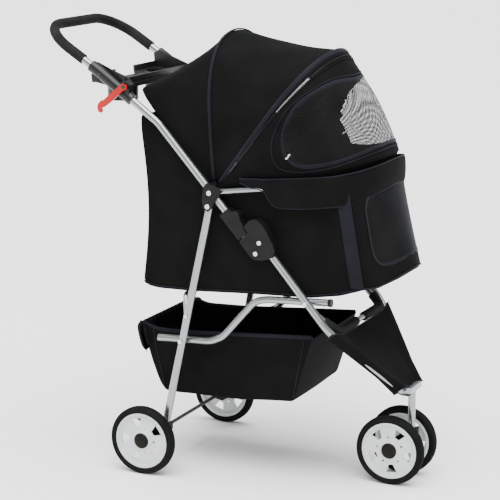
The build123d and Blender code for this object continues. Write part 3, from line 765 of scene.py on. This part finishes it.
for label, index in (("right", 0), ("left", FRONT_STEPS)):
    line = [front_low[index].lerp(front_high[index], t / 20) for t in range(21)]
    bead = rope(f"cabin_corner_{label}", line, 2.0, 8)
    finish_piece(bead, BINDING, "upper_frame")
    corner_beads.append(bead)
front_hem = rope("cabin_front_hem", front_low, 1.8, 8)
finish_piece(front_hem, BINDING, "upper_frame")

# the bands that cover the side corners, 30 mm wide and slightly arched
corner_bands = []
for sign, label in ((1, "left"), (-1, "right")):
    index = FRONT_STEPS if sign > 0 else 0
    low, high = front_low[index], front_high[index]
    across = [Vector((0.004 - 0.030 * k / 6, sign * (0.0035 + 0.0012 * sin(pi * k / 6)), 0)) for k in range(7)]
    rows = [[low.lerp(high, i / 24) + offset for offset in across] for i in range(25)]
    band = thicken(sheet_from(f"cabin_corner_band_{label}", rows if sign > 0 else rows[::-1]), 1.4)
    finish_piece(band, BINDING, "upper_frame")
    corner_bands.append(band)

CABIN_PIECES = [*side_panels, *side_hems, *corner_bands, *corner_beads, liner, floor_panel, front,
                front_mesh, front_ring, front_hem]

# ------------------------------------------------------------------ bumper
# (ahead, half width, height of the lower edge, height of the upper edge)
BUMPER = [(211, 151, 646, 654), (240, 153, 637, 656), (266, 154, 632, 657), (290, 154, 604, 659),
          (340, 154, 602, 664), (405, 151, 609, 671), (440, 139, 614, 677), (466, 118, 621, 683),
          (488, 70, 634, 690), (496, 0, 641, 694)]
BUMPER_HALF_THICK, AROUND = 4.6, 14
bumper_low = smooth_line(whole_line([(a, y, low) for a, y, low, high in BUMPER]), 6)
bumper_high = smooth_line(whole_line([(a, y, high) for a, y, low, high in BUMPER]), 6)
last = len(bumper_low) - 1
rows = []
for k, (p, q) in enumerate(zip(bumper_low, bumper_high)):
    way = (bumper_low[min(k + 1, last)] - bumper_low[max(k - 1, 0)]).normalized()
    out = Vector((-way.y, way.x, 0)).normalized() * -1
    thick = BUMPER_HALF_THICK * MM * min(1, (q - p).length / 0.02)
    ring = []
    for n in range(AROUND):
        angle = tau * n / AROUND
        point = p.lerp(q, 0.5 + 0.5 * sin(angle))
        ring.append(point + out * cos(angle) * thick + out * wrinkled(point, 3.0, 12.0, 4.0))
    rows.append(ring)
bumper = subdivided(sheet_from("bumper", rows, wrap=True))
finish_piece(bumper, OXFORD, "upper_frame", ["bumper_band"])
for label, line in (("low", bumper_low), ("high", bumper_high)):
    finish_piece(rope(f"bumper_piping_{label}", line, 1.6, 8), BINDING, "upper_frame")

# ------------------------------------------------------------------ basket: one sewn shell hung from the links
BASKET_HALF = 121.0
# the tub's outline from the side, as (ahead, height)
REAR_PROFILE = [(-46, 314), (-40, 291), (-26, 262), (-14, 225), (2, 185), (16, 166)]
BASE_PROFILE = [(16, 166), (60, 165), (140, 167), (220, 171), (290, 176), (318, 178)]
FRONT_PROFILE = [(318, 178), (332, 222), (345, 268), (362, 322)]
REAR_FOOT, FRONT_FOOT, FRONT_TOP = 18, 48, 62       # the outline's points at its two lower corners and its end


def basket_section(points, count):
    """A smooth outline through (ahead, height) points, as evenly spaced vectors."""
    return even_line(smooth_line([Vector((a, z, 0)) for a, z in points], 8), count)


section = basket_section(REAR_PROFILE, REAR_FOOT + 1)
section += basket_section(BASE_PROFILE, FRONT_FOOT - REAR_FOOT + 1)[1:]
section += basket_section(FRONT_PROFILE, FRONT_TOP - FRONT_FOOT + 1)[1:]


def near_rim(ahead):
    """The height of a side's top edge."""
    rear_rise = 11 * min(1.0, max(0.0, -ahead / 45))
    return 303 + rear_rise + max(0.0, ahead - 60) / 300 * 21


def top_ahead(k):
    """Where the section's point k meets the side's top edge."""
    knots = [(0, -46), (REAR_FOOT, -14), (FRONT_FOOT, 346), (FRONT_TOP, 362)]
    for (k0, a0), (k1, a1) in zip(knots, knots[1:]):
        if k <= k1:
            return a0 + (a1 - a0) * (k - k0) / (k1 - k0)


SIDE_STEPS = 14


def wall_rows(sign):
    """A side wall's rows, from the rim down to the tub's own edge."""
    block = []
    for i in range(SIDE_STEPS):
        t = i / SIDE_STEPS
        row = []
        for k, p in enumerate(section):
            top_a = top_ahead(k)
            q = Vector((top_a, near_rim(top_a), 0)).lerp(Vector((p.x, p.y, 0)), t)
            point = at(q.x, sign * (BASKET_HALF + 4 * sin(pi * t)), q.y)
            point.y += sign * wrinkled(point, 3.5, 10.0, 1.7) * sin(pi * t)
            row.append(point)
        block.append(row)
    return block


def tub_row(s):
    """The tub's outline at a share s of its half width, with its sagging base and bowed front."""
    row = []
    for k, p in enumerate(section):
        sag = bow = 0.0
        if REAR_FOOT < k < FRONT_FOOT:
            sag = 4.0 * (1 - s * s) * sin(pi * (k - REAR_FOOT) / (FRONT_FOOT - REAR_FOOT))
        if k > FRONT_FOOT:
            bow = 5.0 * (1 - s * s) * sin(pi * (k - FRONT_FOOT) / (FRONT_TOP - FRONT_FOOT))
        point = at(p.x + bow, BASKET_HALF * s, p.y - sag)
        row.append(point + Vector((0, 0, wrinkled(point, 2.5, 9.0, 3.1))))
    return row


shell_rows = [wall_rows(-1), wall_rows(1)]
tub_rows = [tub_row(2 * n / 28 - 1) for n in range(29)]
rows = shell_rows[0] + tub_rows + shell_rows[1][::-1]
basket_shell = thicken(sheet_from("basket_shell", rows), 1.5, offset=0.0)
finish_piece(basket_shell, OXFORD, "brace_links", ["basket"])

rim_ropes = []
for label, block in (("right", shell_rows[0]), ("left", shell_rows[1])):
    rim = rope(f"basket_rim_{label}", block[0], 2.6, 8, flat=1.8, up=[Vector((0, 1, 0))] * len(block[0]))
    rim_ropes.append(finish_piece(rim, BINDING, "brace_links"))
for sign, label, block in ((-1, "right", shell_rows[0]), (1, "left", shell_rows[1])):
    lift = Vector((0, sign * (BASKET_HALF + 1.4) * 0.00001, 0))
    for end, k in (("front", FRONT_FOOT), ("rear", REAR_FOOT)):
        seam = rope(f"basket_seam_{end}_{label}", [row[k] + lift for row in block], 1.1, 6)
        rim_ropes.append(finish_piece(seam, BINDING, "brace_links"))

# the rear edge: a gathered hem folded over the wire and sewn below it
REAR_HEM = [(-34, 252), (-43, 262), (-50, 285), (-53, 303), (-50, 313), (-43, 314), (-38, 306),
            (-36, 292), (-30, 268)]
HEM_HALF, RUFFLE_PITCH = 134, 18
hem_section = basket_section(REAR_HEM, 25)
rows = []
for n in range(113):
    s = 2 * n / 112 - 1
    y = HEM_HALF * s
    inset = max(0.0, (abs(y) - 118) / 16) ** 2 * 14
    ruffle = sin(tau * y / RUFFLE_PITCH)
    row = []
    for k, p in enumerate(hem_section):
        inner = k / 24
        push = 2.6 * ruffle * max(0.0, sin(pi * min(1.0, max(0.0, (inner - 0.5) * 2.2))))
        wave = 1.2 * sin(tau * y / 26 + 1) * max(0.0, 1 - inner * 2)
        row.append(at(p.x + inset + push, y, p.y + wave))
    rows.append(row)
rear_hem = thicken(sheet_from("basket_rear_hem", rows), 1.4, offset=0.0)
finish_piece(rear_hem, OXFORD_DARK, "rear_legs", ["basket_wire"])

# ------------------------------------------------------------------ bib: a pocket of cloth round the front tubes
ROUND = 48                                  # points round the pocket
DOWN_X, DOWN_Z = 0.642, -0.767              # the way down the tubes, which converge
BIB_TOP, BIB_END, BIB_STEPS = 0.055, 1.01, 30       # where the pocket starts and ends along the tubes


def bib_ring(t, low):
    """One loop of the pocket round both tubes; low tilts it from one side to the other."""
    ring = []
    half = 150 - 114 * t
    for n in range(ROUND):
        angle = tau * n / ROUND
        c, s = cos(angle), sin(angle)
        y = half * max(-1.0, min(1.0, 1.18 * c)) + 13.8 * c * abs(c)
        s = max(-1.0, min(1.0, 1.9 * s))
        flatness = max(0.0, 1 - (abs(y) / max(half, 1)) ** 8)
        thick = 11.4 - 4.0 * flatness + 5.5 * max(0.0, t - 0.75) / 0.25
        down = low * (y / 60) * 8
        sag = 14 * flatness * max(0.0, 1 - t * 6)
        a = 412 + 119 * t - DOWN_Z * s * thick + DOWN_X * (sag + down)
        z = 347 - 141 * t + DOWN_X * s * thick + DOWN_Z * (sag + down)
        point = at(a, y, z)
        ring.append(point + Vector((-DOWN_Z, 0, DOWN_X)) * wrinkled(point, 3.0, 7.0, 8.0) * flatness)
    return ring


rows = [bib_ring(BIB_TOP + (BIB_END - BIB_TOP) * i / BIB_STEPS, i / BIB_STEPS) for i in range(BIB_STEPS + 1)]
bib = subdivided(sheet_from("bib", rows, wrap=True))
finish_piece(bib, OXFORD, "front_frame", ["bib_panel"])
for label, ring in (("top", rows[0]), ("hem", rows[-1])):
    finish_piece(rope(f"bib_{label}_seam", ring, 1.2, 6, closed=True), BINDING, "front_frame")

# ------------------------------------------------------------------ crossbar sleeves
# the crossbar's line from its right end to its middle, as (ahead, distance from the middle, height)
BAR = [(385, 134, 373), (403, 129, 359), (419, 116, 346), (421, 90, 344), (421, 40, 344), (421, 0, 344)]
bar_line = smooth_line(whole_line(BAR), 8)
for label, low, high in (("right", 4, 36), ("left", 44, 76)):
    sleeve = rope(f"crossbar_sleeve_{label}", bar_line[low:high], 10.0, 20)
    finish_piece(sleeve, FOAM, "front_frame", ["crossbar_sleeves"])

# ------------------------------------------------------------------ each cloth piece gets its own copy of its mesh
for piece in CABIN_PIECES:
    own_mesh(piece)
for piece in [basket_shell, *rim_ropes]:
    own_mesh(piece)
for piece in [screen, *ON_SCREEN]:
    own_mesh(piece)

# ------------------------------------------------------------------ stage, light and camera
EDGE = 40.0
floor_corners = [Vector((x * EDGE, y * EDGE, 0)) for x, y in ((-1, -1), (1, -1), (1, 1), (-1, 1))]
ground = mesh_object("ground", floor_corners, [(0, 1, 2, 3)], smooth=False)
ground.data.materials.append(plastic("pale_floor", (0.90, 0.90, 0.90), (0.92, 0.92, 0.92), 0.8, 40.0, 0.0001))

world = bpy.context.scene.world or bpy.data.worlds.new("studio")
bpy.context.scene.world = world
world.use_nodes = True
world.node_tree.nodes["Background"].inputs["Color"].default_value = (1, 1, 1, 1)
world.node_tree.nodes["Background"].inputs["Strength"].default_value = 0.85


def area_light(name, place, aim, size, power):
    """A square softbox at place that faces aim."""
    light = bpy.data.lights.new(name, "AREA")
    light.size = size
    light.energy = power
    lamp = bpy.data.objects.new(name, light)
    bpy.context.scene.collection.objects.link(lamp)
    lamp.location = place
    lamp.rotation_euler = (Vector(aim) - Vector(place)).to_track_quat("-Z", "Y").to_euler()


sun = bpy.data.lights.new("overhead", "SUN")
sun.energy, sun.angle = 7.5, radians(60)
sun_lamp = bpy.data.objects.new("overhead", sun)
bpy.context.scene.collection.objects.link(sun_lamp)
sun_lamp.rotation_euler = (radians(12), radians(8), 0)
area_light("key", (1.6, -2.8, 2.6), (0, 0, 0.5), 1.6, 25)
area_light("side", (-2.6, -1.4, 1.8), (0, 0, 0.5), 1.6, 22)

# the camera: azimuth and elevation round a point on the middle plane
AZIMUTH, ELEVATION, ROLL = 25.367, 12.376, -0.2
DISTANCE, LENS = 3.8059, 126.0
target = at(162.3, 0, 469.4)
azimuth, elevation = radians(AZIMUTH), radians(ELEVATION)
back_way = Vector((sin(azimuth) * cos(elevation), -cos(azimuth) * cos(elevation), sin(elevation)))
camera_data = bpy.data.cameras.new("camera")
camera_data.lens = LENS
camera_data.sensor_width = 36.0
camera = bpy.data.objects.new("camera", camera_data)
bpy.context.scene.collection.objects.link(camera)
turn = back_way.to_track_quat("Z", "Y").to_matrix().to_4x4() @ Matrix.Rotation(radians(ROLL), 4, "Z")
camera.matrix_world = Matrix.Translation(target + back_way * DISTANCE) @ turn
bpy.context.scene.camera = camera
